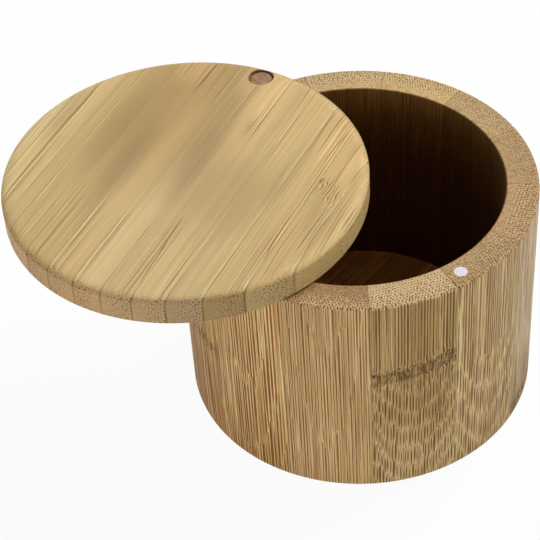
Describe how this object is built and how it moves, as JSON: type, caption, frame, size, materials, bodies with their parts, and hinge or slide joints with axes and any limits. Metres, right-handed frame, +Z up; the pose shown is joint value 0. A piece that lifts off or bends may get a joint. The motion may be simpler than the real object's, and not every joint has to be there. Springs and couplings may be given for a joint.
{
  "type": "salt box",
  "caption": "Round bamboo salt box: a bored ring of glued staves with a let-in floor and a flat laminated lid that swivels sideways on an upright dowel and is held shut by magnets.",
  "frame": {"origin": "centre of the box's foot, on the surface it stands on", "axes": "+Z up along the box's axis; +Y towards the dowel that the lid swivels on; -Y towards the magnets"},
  "size_m": [0.1245, 0.1101, 0.0698],
  "materials": {
    "bamboo": "oiled, satin",
    "dowel_wood": "bare end grain",
    "magnet": "nickel plated"
  },
  "bodies": {
    "body": {"floor_strip_01": "bamboo", "floor_strip_02": "bamboo", "floor_strip_03": "bamboo", "floor_strip_04": "bamboo", "floor_strip_05": "bamboo", "floor_strip_06": "bamboo", "floor_strip_07": "bamboo", "floor_strip_08": "bamboo", "floor_strip_09": "bamboo", "pivot_dowel": "dowel_wood", "rim_magnet": "magnet", "stave_01": "bamboo", "stave_02": "bamboo", "stave_03": "bamboo", "stave_04": "bamboo", "stave_05": "bamboo", "stave_06": "bamboo", "stave_07": "bamboo", "stave_08": "bamboo", "stave_09": "bamboo", "stave_10": "bamboo", "stave_11": "bamboo", "stave_12": "bamboo", "stave_13": "bamboo"},
    "lid": {"lid_magnet": "magnet", "lid_strip_01": "bamboo", "lid_strip_02": "bamboo", "lid_strip_03": "bamboo", "lid_strip_04": "bamboo", "lid_strip_05": "bamboo", "lid_strip_06": "bamboo", "lid_strip_07": "bamboo", "lid_strip_08": "bamboo", "lid_strip_09": "bamboo", "lid_strip_10": "bamboo", "lid_strip_11": "bamboo", "lid_strip_12": "bamboo"}
  },
  "joints": [
    {"name": "lid_swivel", "type": "hinge", "parent": "body", "child": "lid", "pos_m": [0, 0.04045, 0.0622], "axis": [0, 0, 1], "continuous": true}
  ]
}
